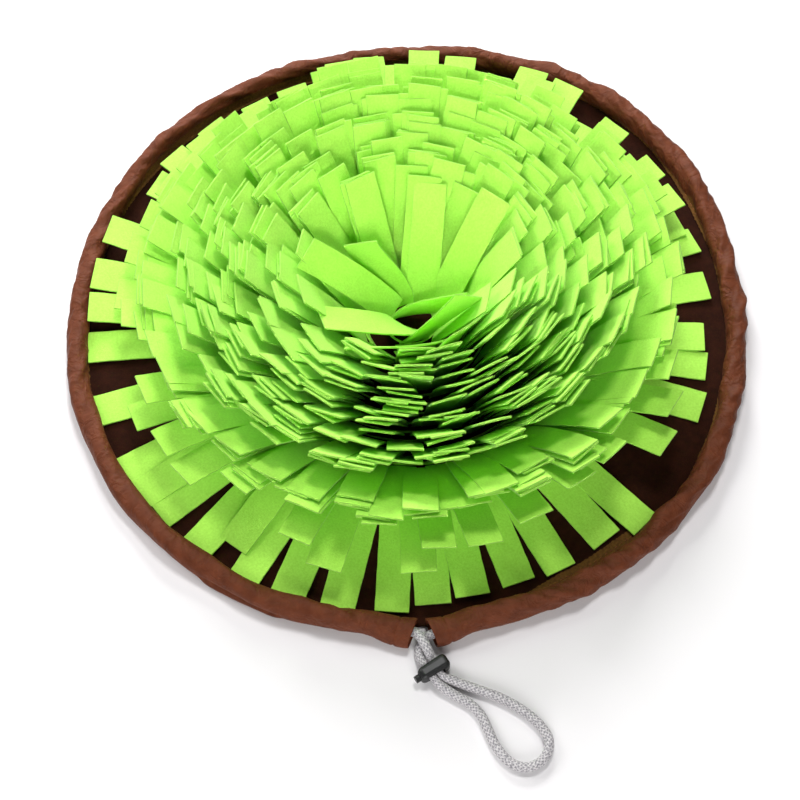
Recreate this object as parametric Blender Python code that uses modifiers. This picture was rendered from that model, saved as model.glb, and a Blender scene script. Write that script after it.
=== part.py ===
# Round snuffle mat: a flat base cloth ringed by a gathered drawstring casing, ten rings of felt
# fringe standing on the base, and the drawstring's free loop with its spring cord lock.
# Metres, +Z up. The mat lies on z = 0, centred on the origin, with the drawstring at the front (-Y).
import math

import bmesh
import bpy
from mathutils import Matrix, Vector

mm = 0.001
GAP = 0.3 * mm                      # kept between neighbouring pieces

# Rim outline: mean radius, and the slow waves that make it uneven
RIM_RADIUS = 224.9 * mm
RIM_WAVES = (
    # order, cosine part, sine part
    (2, 0.0 * mm, 2.2 * mm),
    (3, -1.5 * mm, 0.7 * mm),
    (4, -2.0 * mm, -0.3 * mm),
    (5, -0.3 * mm, -0.7 * mm),
)
RIM_CENTRE = Vector((1.47 * mm, 4.66 * mm, 0.0))   # puts the mat's own box on the origin

# Casing: a sleeve round the rim, open at both ends, where it is flattened
SLEEVE_WALL = 1.0 * mm
SLEEVE_WIDTH = 12.4 * mm
SLEEVE_HEIGHT = 14.4 * mm
SLEEVE_SQUARENESS = 2.5             # power of the superellipse of its section
MOUTH_WIDTH = 17.0 * mm
MOUTH_HEIGHT = 11.6 * mm
MOUTH_FLARE = 5.0 * mm              # how far each end stands out from the rim's line
MOUTH_BLEND = 32.0 * mm             # the sleeve flattens over this length
MOUTH_SLANT = 0.37                  # how far each end is cut back towards its outer side
RIGHT_MOUTH = math.radians(273.2)
LEFT_MOUTH = math.radians(270.4 + 360.0)
SLEEVE_STATIONS = 98
SLEEVE_SIDES = 10
SLEEVE_GATHERS = (
    # waves round the rim, turns round the section, depth, phase
    (22, 2, 0.9 * mm, 0.4),
    (13, -1, 0.6 * mm, 1.9),
)

# Base cloth
BASE_THICKNESS = 2.3 * mm
BASE_POINTS = 96

# Felt
FELT_CENTRE = Vector((1.0 * mm, -4.0 * mm, 0.0))
FELT_THICKNESS = 1.8 * mm
STRIP_WIDTH = 21.0 * mm
HEADING = 5.0 * mm                  # uncut edge that joins a ring's strips
STRIP_CLEARANCE = 0.5 * mm
FRINGE_RINGS = (
    # root radius, strips, lean at the root, lean at the tip, length
    (29 * mm, 10, 63, 57, 84 * mm),
    (42 * mm, 15, 63, 56, 85 * mm),
    (55 * mm, 20, 63, 55, 86 * mm),
    (68 * mm, 24, 63, 55, 86 * mm),
    (81 * mm, 29, 62, 54, 87 * mm),
    (94 * mm, 33, 60, 52, 87 * mm),
    (103 * mm, 36, 48, 35, 86 * mm),
    (112 * mm, 39, 27, 11, 84 * mm),
)
# The innermost ring's strips are bent one by one round the hole in the middle
CROWN_RADIUS = 15.5 * mm
CROWN_LENGTH = 84 * mm
CROWN_STRIPS = (
    # azimuth, lean at the root, lean at the tip, lean sideways
    (22, 70, 66, -3),
    (92, 63, 58, 2),
    (158, 61, 55, 4),
    (226, 63, 58, 0),
    (296, 68, 64, -2),
)
# The outermost ring's strips lie out on the base in runs, with bare cloth between the runs
HEM_RADIUS = 121 * mm
HEM_RUNS = (
    # first azimuth, last azimuth, strips, reach of the tips
    (19, 48, 4, 206 * mm),
    (60, 103, 7, 213 * mm),
    (114, 147, 5, 206 * mm),
    (159, 176, 3, 211 * mm),
    (185, 198, 2, 211 * mm),
    (211, 222, 3, 210 * mm),
    (231, 274, 6, 205 * mm),
    (280, 315, 5, 199 * mm),
    (332, 368, 5, 195 * mm),
)
HEM_LIFT = 13.0                     # degrees the outermost strips rise at the back of the mat
STEEP_SIDE = 8.0                    # degrees the steep rings stand up more at the right
STEEP_SIDE_AZIMUTH = -15.0
LEAN_SCATTER = 2.0                  # degrees
SKEW_SCATTER = 2.0                  # degrees
WIDTH_SCATTER = 1.3 * mm
LENGTH_SCATTER = 2.5 * mm
PLACE_SCATTER = 0.10                # of the pitch

# Drawstring and cord lock
CORD_DIAMETER = 6.0 * mm
CORD_HEIGHT = 5.3 * mm              # of its middle, inside the casing
CORD_INSET = 9.0 * mm               # from the casing's mouth to where the free loop begins
PINCH = 0.8                   # the lock squeezes the cord to this share of its diameter
LOCK_CENTRE = Vector((13.3 * mm, -246.0 * mm, 5.4 * mm))
LOCK_TURN = math.radians(33.0)
CORD_SPACING = 5.2 * mm             # between the two strands inside the lock
LOCK_BODY = Vector((20.2 * mm, 9.6 * mm, 10.6 * mm))
LOCK_BODY_MIDDLE = 0.5 * mm
LOCK_ROUNDING = 3.0 * mm
CAVITY = (-12.0 * mm, 9.2 * mm, 4.7 * mm, 7.7 * mm)       # from, to, width, height
CORD_SLOT = (11.2 * mm, 5.9 * mm)                          # length along the lock, height
PLUNGER = (-9.2 * mm, 6.5 * mm, 4.1 * mm, 7.1 * mm)       # from, to, width, height
PLUNGER_SLOT = (-8.0 * mm, 5.4 * mm, 5.4 * mm)            # from, to, height
NUB_DIAMETER = 4.6 * mm
NUB_END = -12.4 * mm


def wave_sum(azimuth, waves):
    return sum(c * math.cos(k * azimuth) + s * math.sin(k * azimuth) for k, c, s in waves)


def rim_radius(azimuth):
    """Outside radius of the rim at an azimuth."""
    return RIM_RADIUS + wave_sum(azimuth, RIM_WAVES)


def scatter(ring, strip, use):
    """A repeatable value from -1 to 1 for one use on one strip."""
    value = math.sin(12.9898 * ring + 78.233 * strip + 37.719 * use) * 43758.5453
    return 2.0 * (value - math.floor(value)) - 1.0


def smooth_step(value):
    value = min(max(value, 0.0), 1.0)
    return value * value * (3.0 - 2.0 * value)


def radial(azimuth):
    return Vector((math.cos(azimuth), math.sin(azimuth), 0.0))


def tangent(azimuth):
    return Vector((-math.sin(azimuth), math.cos(azimuth), 0.0))


def material(name, colour, roughness):
    """A Principled material with one colour (linear) and roughness."""
    made = bpy.data.materials.new(name)
    made.use_nodes = True
    shader = made.node_tree.nodes["Principled BSDF"]
    shader.inputs["Base Color"].default_value = (*colour, 1.0)
    shader.inputs["Roughness"].default_value = roughness
    shader.inputs["Metallic"].default_value = 0.0
    return made


def new_object(name, data, collection, finish):
    made = bpy.data.objects.new(name, data)
    collection.objects.link(made)
    data.materials.append(finish)
    return made


def mesh_from_bmesh(name, bm):
    """Turn a finished bmesh into a mesh with its faces pointing outwards."""
    bmesh.ops.recalc_face_normals(bm, faces=bm.faces)
    mesh = bpy.data.meshes.new(name)
    bm.to_mesh(mesh)
    bm.free()
    return mesh


# ---- rim casing -------------------------------------------------------------------------------

def mouth_share(azimuth):
    """0 along the rim, rising to 1 at either open end of the casing."""
    nearest = min(azimuth - RIGHT_MOUTH, LEFT_MOUTH - azimuth) * RIM_RADIUS
    return 1.0 - smooth_step(nearest / MOUTH_BLEND)


def sleeve_size(azimuth):
    flat = mouth_share(azimuth)
    width = SLEEVE_WIDTH + (MOUTH_WIDTH - SLEEVE_WIDTH) * flat
    height = SLEEVE_HEIGHT + (MOUTH_HEIGHT - SLEEVE_HEIGHT) * flat
    return width, height


def sleeve_axis(azimuth):
    """Middle of the sleeve's section: its radius, and its height over the floor."""
    width, height = sleeve_size(azimuth)
    flare = MOUTH_FLARE * mouth_share(azimuth)
    return rim_radius(azimuth) - 0.5 * SLEEVE_WIDTH + flare, 0.5 * height


def sleeve_section(azimuth, turn):
    """A superellipse with gathers that wind round it: offset outwards and height."""
    width, height = sleeve_size(azimuth)
    power = 2.0 / SLEEVE_SQUARENESS
    across, up = math.cos(turn), math.sin(turn)
    gather = sum(depth * math.sin(waves * azimuth + turns * turn + phase)
                 for waves, turns, depth, phase in SLEEVE_GATHERS)
    gather *= (1.0 - 0.8 * mouth_share(azimuth)) * (0.5 + 0.5 * up)
    out = math.copysign(abs(across) ** power, across) * (0.5 * width + gather)
    rise = math.copysign(abs(up) ** power, up) * (0.5 * height + gather)
    return out, 0.5 * height + rise


def sleeve_point(azimuth, turn):
    out, height = sleeve_section(azimuth, turn)
    middle = sleeve_axis(azimuth)[0]
    nearer_left = 1.0 if LEFT_MOUTH - azimuth < azimuth - RIGHT_MOUTH else -1.0
    cut_back = nearer_left * mouth_share(azimuth) * MOUTH_SLANT * out / middle
    direction = radial(azimuth - cut_back)
    return RIM_CENTRE + direction * (middle + out) + Vector((0.0, 0.0, height))


def make_rim_casing(collection, finish):
    """Loft the sleeve from mouth to mouth, then give it its cloth wall."""
    bm = bmesh.new()
    rings = []
    for station in range(SLEEVE_STATIONS):
        azimuth = RIGHT_MOUTH + (LEFT_MOUTH - RIGHT_MOUTH) * station / (SLEEVE_STATIONS - 1)
        turns = [2.0 * math.pi * (side + 0.5) / SLEEVE_SIDES for side in range(SLEEVE_SIDES)]
        rings.append([bm.verts.new(sleeve_point(azimuth, turn)) for turn in turns])
    for near, far in zip(rings, rings[1:]):
        for side in range(SLEEVE_SIDES):
            after = (side + 1) % SLEEVE_SIDES
            bm.faces.new((near[side], far[side], far[after], near[after]))
    casing = new_object("rim_casing", mesh_from_bmesh("rim_casing", bm), collection, finish)
    wall = casing.modifiers.new("cloth wall", 'SOLIDIFY')
    wall.thickness = SLEEVE_WALL
    wall.offset = -1.0
    wall.use_even_offset = True
    return casing


# ---- base cloth -------------------------------------------------------------------------------

def base_radius(azimuth):
    """Radius at which the base meets the foot of the casing, less the gap."""
    level = BASE_THICKNESS
    azimuth = RIGHT_MOUTH + (azimuth - RIGHT_MOUTH) % (2.0 * math.pi)
    inside = [math.pi * (1.0 + 0.5 * step / 24) for step in range(25)]
    section = [sleeve_section(azimuth, turn) for turn in inside]
    reach = [-out for out, height in section if height <= level + 2.0 * GAP]
    return sleeve_axis(azimuth)[0] - max(reach) - GAP - 0.2 * mm


def make_base_cloth(collection, finish):
    """A flat outline with half its thickness extruded each way."""
    outline = bpy.data.curves.new("base_cloth", 'CURVE')
    outline.dimensions = '2D'
    outline.fill_mode = 'BOTH'
    outline.extrude = 0.5 * BASE_THICKNESS
    edge = outline.splines.new('POLY')
    edge.points.add(BASE_POINTS - 1)
    for step, point in enumerate(edge.points):
        azimuth = 2.0 * math.pi * step / BASE_POINTS
        place = RIM_CENTRE + radial(azimuth) * base_radius(azimuth)
        point.co = (place.x, place.y, 0.0, 1.0)
    edge.use_cyclic_u = True
    cloth = new_object("base_cloth", outline, collection, finish)
    cloth.location.z = 0.5 * BASE_THICKNESS
    weld = cloth.modifiers.new("close the edge", 'WELD')
    weld.merge_threshold = 0.00001
    return cloth


# ---- felt fringe ------------------------------------------------------------------------------

def side_lean(azimuth):
    """Extra degrees of lean where the steep rings stand up more."""
    return STEEP_SIDE * max(0.0, math.cos(azimuth - math.radians(STEEP_SIDE_AZIMUTH))) ** 2


def back_lift(azimuth):
    """Degrees by which the outermost strips rise towards the back."""
    return HEM_LIFT * smooth_step(0.5 + 0.5 * math.sin(azimuth)) ** 2


def strip_plan(azimuth, root_lean, tip_lean, length, width, skew=0.0):
    return {"azimuth": azimuth, "root": math.radians(root_lean), "tip": math.radians(tip_lean),
            "length": length, "width": width, "skew": math.radians(skew)}


def ring_strips(ring, count, root_lean, tip_lean, length):
    """Strips evenly round a ring, each a little out of true."""
    plans = []
    for strip in range(count):
        turn = (strip + 0.5 * scatter(ring, 0, 5) + PLACE_SCATTER * scatter(ring, strip, 0)) / count
        azimuth = 2.0 * math.pi * turn
        steep = side_lean(azimuth) * smooth_step((root_lean - 20.0) / 40.0)
        lean = LEAN_SCATTER * scatter(ring, strip, 1)
        plans.append(strip_plan(
            azimuth, root_lean + steep + 0.3 * lean, tip_lean + steep + lean,
            length + LENGTH_SCATTER * scatter(ring, strip, 2),
            STRIP_WIDTH + WIDTH_SCATTER * scatter(ring, strip, 3),
            SKEW_SCATTER * scatter(ring, strip, 4)))
    return plans


def crown_strips():
    """The innermost strips, bent one by one."""
    return [strip_plan(math.radians(azimuth), root_lean, tip_lean, CROWN_LENGTH, STRIP_WIDTH, skew)
            for azimuth, root_lean, tip_lean, skew in CROWN_STRIPS]


def hem_strips(ring):
    """Strips that lie out on the base, in runs."""
    plans = []
    for first, last, count, reach in HEM_RUNS:
        for strip in range(count):
            azimuth = math.radians(first + (last - first) * strip / (count - 1))
            lift = back_lift(azimuth)
            length = reach - HEM_RADIUS + LENGTH_SCATTER * scatter(ring, strip + first, 2)
            plans.append(strip_plan(azimuth, lift, lift, length,
                                    STRIP_WIDTH + WIDTH_SCATTER * scatter(ring, strip + first, 3)))
    return sorted(plans, key=lambda plan: plan["azimuth"] % (2.0 * math.pi))


def foot_height(lean):
    """Height of a band's foot: its lowest edge clears the base by the gap."""
    return BASE_THICKNESS + GAP + 0.5 * FELT_THICKNESS * math.cos(lean)


def strip_section(plan, radius, share, width):
    """Four corners of a strip at a share of its length: the centreline is an arc whose lean goes
    evenly from root to tip, and the skew swings the flat strip sideways in its own plane."""
    steps = 12
    out, up = 0.0, 0.0
    reach = share * plan["length"]
    for step in range(steps):
        lean = plan["root"] + (plan["tip"] - plan["root"]) * share * (step + 0.5) / steps
        out += math.cos(lean) * reach / steps
        up += math.sin(lean) * reach / steps
    lean = plan["root"] + (plan["tip"] - plan["root"]) * share
    outward, sideways = radial(plan["azimuth"]), tangent(plan["azimuth"])
    along = outward * math.cos(lean) + Vector((0.0, 0.0, math.sin(lean)))
    normal = Vector((0.0, 0.0, math.cos(lean))) - outward * math.sin(lean)
    centre = RIM_CENTRE + FELT_CENTRE + outward * (radius + out)
    centre += Vector((0.0, 0.0, foot_height(plan["root"]) + up))
    centre += sideways * math.sin(plan["skew"]) * reach
    across = sideways * math.cos(plan["skew"]) - along * math.sin(plan["skew"])
    half, thick = 0.5 * width, 0.5 * FELT_THICKNESS
    return [centre - across * half - normal * thick, centre - across * half + normal * thick,
            centre + across * half + normal * thick, centre + across * half - normal * thick]


def room_beside(plans, index, radius):
    """Width free for a strip at a radius, measured to its nearer neighbour."""
    here = plans[index]["azimuth"]
    before, after = plans[index - 1]["azimuth"], plans[(index + 1) % len(plans)]["azimuth"]
    full = 2.0 * math.pi
    return radius * min((here - before) % full, (after - here) % full) - STRIP_CLEARANCE


def band_row(bm, azimuth, radius, lean):
    """Profile of the band at one azimuth: a rectangle, thick as the felt, leaning with it."""
    row = []
    for along, side in ((0.0, -1.0), (0.0, 1.0), (HEADING, 1.0), (HEADING, -1.0)):
        out = radius + along * math.cos(lean) - 0.5 * side * FELT_THICKNESS * math.sin(lean)
        up = along * math.sin(lean) + 0.5 * side * FELT_THICKNESS * math.cos(lean)
        row.append(bm.verts.new(RIM_CENTRE + FELT_CENTRE + radial(azimuth) * out
                                + Vector((0.0, 0.0, foot_height(lean) + up))))
    return row


def make_fringe_ring(name, radius, plans, lean_at, shares, collection, finish):
    """Sweep a ring's band and extrude each strip from its foot on the band's free edge."""
    bm = bmesh.new()
    rows, feet = [], []
    for index, plan in enumerate(plans):
        foot_out = radius + HEADING * math.cos(plan["root"])
        width = min(plan["width"], room_beside(plans, index, foot_out))
        half_turn = math.asin(0.5 * width / foot_out)
        feet.append((len(rows), index))
        for azimuth in (plan["azimuth"] - half_turn, plan["azimuth"] + half_turn):
            rows.append(band_row(bm, azimuth, radius, lean_at(azimuth)))
        following = plans[(index + 1) % len(plans)]["azimuth"]
        free = (following - plan["azimuth"]) % (2.0 * math.pi) - 2.0 * half_turn
        extra = int(free / math.radians(5.0))
        for step in range(extra):
            azimuth = plan["azimuth"] + half_turn + free * (step + 1) / (extra + 1)
            rows.append(band_row(bm, azimuth, radius, lean_at(azimuth)))
    ends = []
    for here, row in enumerate(rows):
        after = rows[(here + 1) % len(rows)]
        for a, b in ((0, 1), (1, 2), (3, 0)):
            bm.faces.new((row[a], row[b], after[b], after[a]))
        ends.append(bm.faces.new((row[3], row[2], after[2], after[3])))
    for row_index, index in feet:
        plan, face = plans[index], ends[row_index]
        for share in shares:
            reach = share * plan["length"]
            out = radius + reach * math.cos(0.5 * (plan["root"] + plan["tip"]))
            swing = 2.0 * reach * math.sin(math.radians(SKEW_SCATTER)) if plan["skew"] else 0.0
            width = min(plan["width"], room_beside(plans, index, out) - swing)
            face = bmesh.ops.extrude_discrete_faces(bm, faces=[face])["faces"][0]
            for vert, point in zip(face.verts, strip_section(plan, radius, share, width)):
                vert.co = point
    return new_object(name, mesh_from_bmesh(name, bm), collection, finish)


def make_fringe(collection, finish):
    crown_lean = math.radians(64.0)
    make_fringe_ring("fringe_ring_01", CROWN_RADIUS, crown_strips(), lambda azimuth: crown_lean,
                     (0.4, 0.7, 1.0), collection, finish)
    for ring, (radius, count, root_lean, tip_lean, length) in enumerate(FRINGE_RINGS, start=2):
        plans = ring_strips(ring, count, root_lean, tip_lean, length)
        steep = smooth_step((root_lean - 20.0) / 40.0)
        make_fringe_ring(
            f"fringe_ring_{ring:02d}", radius, plans,
            lambda azimuth: math.radians(root_lean + steep * side_lean(azimuth)),
            (0.5, 1.0) if root_lean > 40 else (0.3, 0.65, 1.0), collection, finish)
    ring = len(FRINGE_RINGS) + 2
    make_fringe_ring(f"fringe_ring_{ring:02d}", HEM_RADIUS, hem_strips(ring),
                     lambda azimuth: math.radians(back_lift(azimuth)), (0.45, 1.0),
                     collection, finish)


# ---- drawstring -------------------------------------------------------------------------------

def lock_place(along, across, up=0.0):
    """A point given along the lock, along the strands and up from the lock's middle."""
    spin = Matrix.Rotation(LOCK_TURN, 3, 'Z')
    return RIM_CENTRE + LOCK_CENTRE + spin @ Vector((along, -across, up))


def rim_place(x, y, z):
    """A point in millimetres from the middle of the rim's outline."""
    return RIM_CENTRE + Vector((x, y, z)) * mm


def loop_route():
    """The free loop's route: out of the left mouth, over the other strand, through the lock, round
    the loop on the floor, back through the lock and into the right mouth. Each row is a place and
    the share of the cord's full diameter there."""
    side = 0.5 * CORD_SPACING
    out_of_casing = [
        (casing_point(LEFT_MOUTH - CORD_INSET / RIM_RADIUS), 1.0),
        (casing_point(LEFT_MOUTH - 0.5 * CORD_INSET / RIM_RADIUS), 1.0),
        (rim_place(0.8, -222.2, 6.6), 1.0),
        (rim_place(4.8, -225.4, 8.7), 1.0),
        (rim_place(7.9, -230.2, 9.7), 1.0),
        (rim_place(10.2, -235.0, 8.8), 0.95),
    ]
    first_pass = [(lock_place(side, across, up), PINCH)
                  for across, up in ((-6.5 * mm, 0.6 * mm), (0.0, 0.0), (6.5 * mm, -0.2 * mm))]
    loop = [(rim_place(*place), 1.0) for place in (
        (25.0, -252.4, 3.9), (32.5, -255.2, 3.2), (41.5, -258.4, 3.1), (53.0, -262.9, 3.1),
        (64.8, -269.7, 3.1), (74.6, -278.0, 3.1), (80.4, -286.4, 3.1), (81.0, -294.0, 3.1),
        (77.4, -300.8, 3.1), (70.3, -305.0, 3.1), (62.2, -304.6, 3.1), (55.0, -299.6, 3.1),
        (49.6, -292.0, 3.1), (45.7, -283.0, 3.1), (41.6, -274.0, 3.1), (35.4, -267.0, 3.1),
        (27.0, -261.9, 3.2), (19.6, -257.2, 3.9))]
    second_pass = [(lock_place(-side, across, 0.0), PINCH)
                   for across in (6.5 * mm, 0.0, -6.5 * mm)]
    into_casing = [
        (rim_place(5.4, -236.4, 3.6), 0.97),
        (rim_place(5.5, -231.2, 3.2), 1.0),
        (rim_place(8.2, -226.6, 3.4), 1.0),
        (rim_place(12.8, -223.4, 4.6), 1.0),
        (casing_point(RIGHT_MOUTH + 0.7 * CORD_INSET / RIM_RADIUS), 1.0),
        (casing_point(RIGHT_MOUTH + 1.2 * CORD_INSET / RIM_RADIUS), 1.0),
    ]
    return out_of_casing + first_pass + loop + second_pass + into_casing


def casing_point(azimuth):
    """Where the drawstring runs inside the casing."""
    return RIM_CENTRE + radial(azimuth) * sleeve_axis(azimuth)[0] + Vector((0.0, 0.0, CORD_HEIGHT))


def smooth_route(route, spacing):
    """Read even points from the Catmull-Rom curve through the route's own points."""
    places = [place for place, share in route]
    shares = [share for place, share in route]
    fine = []
    for index in range(len(route) - 1):
        p1, p2 = places[index], places[index + 1]
        p0 = places[index - 1] if index else p1 * 2.0 - p2
        p3 = places[index + 2] if index + 2 < len(route) else p2 * 2.0 - p1
        for step in range(12):
            t = step / 12.0
            place = 0.5 * (2.0 * p1 + (p2 - p0) * t + (2.0 * p0 - 5.0 * p1 + 4.0 * p2 - p3) * t ** 2
                           + (3.0 * p1 - p0 - 3.0 * p2 + p3) * t ** 3)
            fine.append((place, shares[index] + (shares[index + 1] - shares[index]) * t))
    fine.append(route[-1])
    lengths = [0.0]
    for (a, _), (b, _) in zip(fine, fine[1:]):
        lengths.append(lengths[-1] + (b - a).length)
    count = round(lengths[-1] / spacing)
    even, index = [], 0
    for step in range(count + 1):
        target = lengths[-1] * step / count
        while index < len(lengths) - 2 and lengths[index + 1] < target:
            index += 1
        part = (target - lengths[index]) / (lengths[index + 1] - lengths[index])
        (a, share_a), (b, share_b) = fine[index], fine[index + 1]
        even.append((a.lerp(b, part), share_a + (share_b - share_a) * part))
    return even


def make_cord(name, points, collection, finish):
    """A round tube along a POLY spline."""
    curve = bpy.data.curves.new(name, 'CURVE')
    curve.dimensions = '3D'
    curve.bevel_depth = 0.5 * CORD_DIAMETER
    curve.bevel_resolution = 2
    curve.use_fill_caps = True
    spline = curve.splines.new('POLY')
    spline.points.add(len(points) - 1)
    for point, (place, share) in zip(spline.points, points):
        point.co = (*place, 1.0)
        point.radius = share
    return new_object(name, curve, collection, finish)


def make_drawstring(collection, finish):
    make_cord("drawstring_loop", smooth_route(loop_route(), 6.0 * mm), collection, finish)
    start = RIGHT_MOUTH + (1.2 * CORD_INSET + 2.0 * GAP) / RIM_RADIUS
    end = LEFT_MOUTH - (CORD_INSET + 2.0 * GAP) / RIM_RADIUS
    count = 72
    held = [(casing_point(start + (end - start) * step / count), 1.0) for step in range(count + 1)]
    make_cord("drawstring_in_casing", held, collection, finish)


# ---- cord lock --------------------------------------------------------------------------------

def box_object(name, size, middle, collection):
    bm = bmesh.new()
    bmesh.ops.create_cube(bm, size=1.0)
    bmesh.ops.scale(bm, verts=bm.verts, vec=size)
    bmesh.ops.translate(bm, verts=bm.verts, vec=middle)
    made = bpy.data.objects.new(name, mesh_from_bmesh(name, bm))
    collection.objects.link(made)
    return made


def place_in_lock(piece):
    piece.location = RIM_CENTRE + LOCK_CENTRE
    piece.rotation_euler.z = LOCK_TURN


def cut(target, cutter, operation='DIFFERENCE'):
    cutter.hide_render = True
    cutter.display_type = 'WIRE'
    change = target.modifiers.new(cutter.name, 'BOOLEAN')
    change.operation = operation
    change.solver = 'EXACT'
    change.object = cutter


def make_cord_lock(collection, cutters, finish):
    """A rounded body with one slot for both strands, and a spring plunger that slides in it."""
    bm = bmesh.new()
    bmesh.ops.create_cube(bm, size=1.0)
    bmesh.ops.scale(bm, verts=bm.verts, vec=LOCK_BODY)
    bmesh.ops.bevel(bm, geom=list(bm.edges), offset=LOCK_ROUNDING, segments=4, profile=0.5,
                    affect='EDGES')
    for vert in bm.verts:
        narrowing = 1.0 - 0.16 * smooth_step(-vert.co.x / (0.5 * LOCK_BODY.x))
        vert.co.y *= narrowing
    bmesh.ops.translate(bm, verts=bm.verts, vec=(LOCK_BODY_MIDDLE, 0.0, 0.0))
    body = new_object("cord_lock_body", mesh_from_bmesh("cord_lock_body", bm), collection, finish)
    place_in_lock(body)

    start, end, width, height = CAVITY
    cavity = box_object("lock cavity cutter", Vector((end - start, width, height)),
                        Vector((0.5 * (start + end), 0.0, 0.0)), cutters)
    slot_length, slot_height = CORD_SLOT
    slot = box_object("cord slot cutter", Vector((slot_length, 30.0 * mm, slot_height)),
                      Vector((0.0, 0.0, 0.0)), cutters)
    for cutter in (cavity, slot):
        place_in_lock(cutter)
        cut(body, cutter)

    start, end, width, height = PLUNGER
    button = box_object("cord_lock_button", Vector((end - start, width, height)),
                        Vector((0.5 * (start + end), 0.0, 0.0)), collection)
    button.data.materials.append(finish)
    slot_start, slot_end, slot_height = PLUNGER_SLOT
    opening = box_object("plunger slot cutter",
                         Vector((slot_end - slot_start, 30.0 * mm, slot_height)),
                         Vector((0.5 * (slot_start + slot_end), 0.0, 0.0)), cutters)
    bm = bmesh.new()
    bmesh.ops.create_cone(bm, cap_ends=True, segments=16, radius1=0.5 * NUB_DIAMETER,
                          radius2=0.5 * NUB_DIAMETER, depth=start + 1.0 * mm - NUB_END,
                          matrix=Matrix.Translation((0.5 * (NUB_END + start + 1.0 * mm), 0.0, 0.0))
                          @ Matrix.Rotation(math.radians(90.0), 4, 'Y'))
    nub = bpy.data.objects.new("nub joined to the plunger", mesh_from_bmesh("nub", bm))
    cutters.objects.link(nub)
    for piece in (button, opening, nub):
        place_in_lock(piece)
    cut(button, opening)
    cut(button, nub, 'UNION')


def main():
    for old in list(bpy.data.objects):
        bpy.data.objects.remove(old, do_unlink=True)
    mat = bpy.data.collections.new("snuffle mat")
    cutters = bpy.data.collections.new("cutters")
    bpy.context.scene.collection.children.link(mat)
    bpy.context.scene.collection.children.link(cutters)

    make_base_cloth(mat, material("base cloth", (0.030, 0.012, 0.008), 0.95))
    make_rim_casing(mat, material("casing taffeta", (0.110, 0.038, 0.024), 0.55))
    make_fringe(mat, material("felt", (0.270, 0.900, 0.040), 0.95))
    make_drawstring(mat, material("cord", (0.560, 0.550, 0.570), 0.80))
    make_cord_lock(mat, cutters, material("lock plastic", (0.022, 0.023, 0.022), 0.45))


main()
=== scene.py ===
import math

import bpy
import numpy as np
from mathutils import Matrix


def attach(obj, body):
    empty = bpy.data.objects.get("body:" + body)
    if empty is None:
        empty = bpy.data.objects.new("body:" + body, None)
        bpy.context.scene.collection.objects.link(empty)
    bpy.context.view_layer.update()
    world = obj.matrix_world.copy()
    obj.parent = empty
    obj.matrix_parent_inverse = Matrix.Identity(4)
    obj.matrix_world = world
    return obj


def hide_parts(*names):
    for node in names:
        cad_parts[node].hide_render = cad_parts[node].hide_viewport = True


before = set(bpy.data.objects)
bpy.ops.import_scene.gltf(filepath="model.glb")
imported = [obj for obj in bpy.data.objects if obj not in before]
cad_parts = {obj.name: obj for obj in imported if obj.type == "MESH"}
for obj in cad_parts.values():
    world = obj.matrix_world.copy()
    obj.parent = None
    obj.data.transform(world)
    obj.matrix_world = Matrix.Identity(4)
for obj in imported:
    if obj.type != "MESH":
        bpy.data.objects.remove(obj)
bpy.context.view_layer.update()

# Round snuffle mat: felt strips on a brown base cloth, a gathered drawstring casing round the rim,
# and the drawstring's loop with its cord lock. Metres, +Z up, the cord lock at the front (-Y).

mm = 0.001
scene = bpy.context.scene
rimCentre = np.array((1.47, 4.66, 0.0)) * mm
baseTop = 2.3 * mm


# helpers

def linearColour(hexText):
    # sRGB to linear: c / 12.92 up to 0.04045, and ((c + 0.055) / 1.055) to the power 2.4 above it
    parts = [int(hexText[at:at + 2], 16) / 255.0 for at in (1, 3, 5)]
    return (*[c / 12.92 if c <= 0.04045 else ((c + 0.055) / 1.055) ** 2.4 for c in parts], 1.0)


def setSockets(tree, node, values):
    # a link is (node, output), a hex text is a colour, and anything else is the socket's own value
    for socket, value in values.items():
        if isinstance(value, tuple) and isinstance(value[0], bpy.types.Node):
            tree.links.new(value[0].outputs[value[1]], node.inputs[socket])
        else:
            node.inputs[socket].default_value = linearColour(value) if isinstance(value, str) else value


def addNode(tree, kind, values=None, **settings):
    # one node with its settings and its sockets' links and values
    node = tree.nodes.new(kind)
    for name, value in settings.items():
        setattr(node, name, value)
    setSockets(tree, node, values or {})
    return node


def setStops(ramp, *stops):
    # where a colour ramp's stops lie, and their colours
    for element, (place, hexText) in zip(ramp.color_ramp.elements, stops):
        element.position = place
        element.color = linearColour(hexText)


def newMaterial(name):
    # a material with its own Principled shader, ready for nodes
    made = bpy.data.materials.new(name)
    made.use_nodes = True
    return made, made.node_tree, made.node_tree.nodes["Principled BSDF"]


def smoothStep(x):
    # 0 below x = 0, 1 above x = 1, and 3x² − 2x³ between
    x = np.clip(x, 0.0, 1.0)
    return x * x * (3.0 - 2.0 * x)


def scatter(ring, strip, use):
    # the fraction of sin(12.9898 ring + 78.233 strip + 37.719 use) · 43758.5453, spread over −1 to 1
    value = np.sin(12.9898 * ring + 78.233 * np.asarray(strip, float) + 37.719 * use) * 43758.5453
    return 2.0 * (value - np.floor(value)) - 1.0


def radial(azimuth):
    # the level unit vector that points outwards at an azimuth
    azimuth = np.asarray(azimuth, float)
    return np.stack((np.cos(azimuth), np.sin(azimuth), 0.0 * azimuth), axis=-1)


def sideways(azimuth):
    # the level unit vector a quarter turn on from the outward one
    azimuth = np.asarray(azimuth, float)
    return np.stack((-np.sin(azimuth), np.cos(azimuth), 0.0 * azimuth), axis=-1)


def upright(level):
    # vectors that stand straight up, as long as level
    return np.stack((0.0 * level, 0.0 * level, level), axis=-1)


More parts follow.
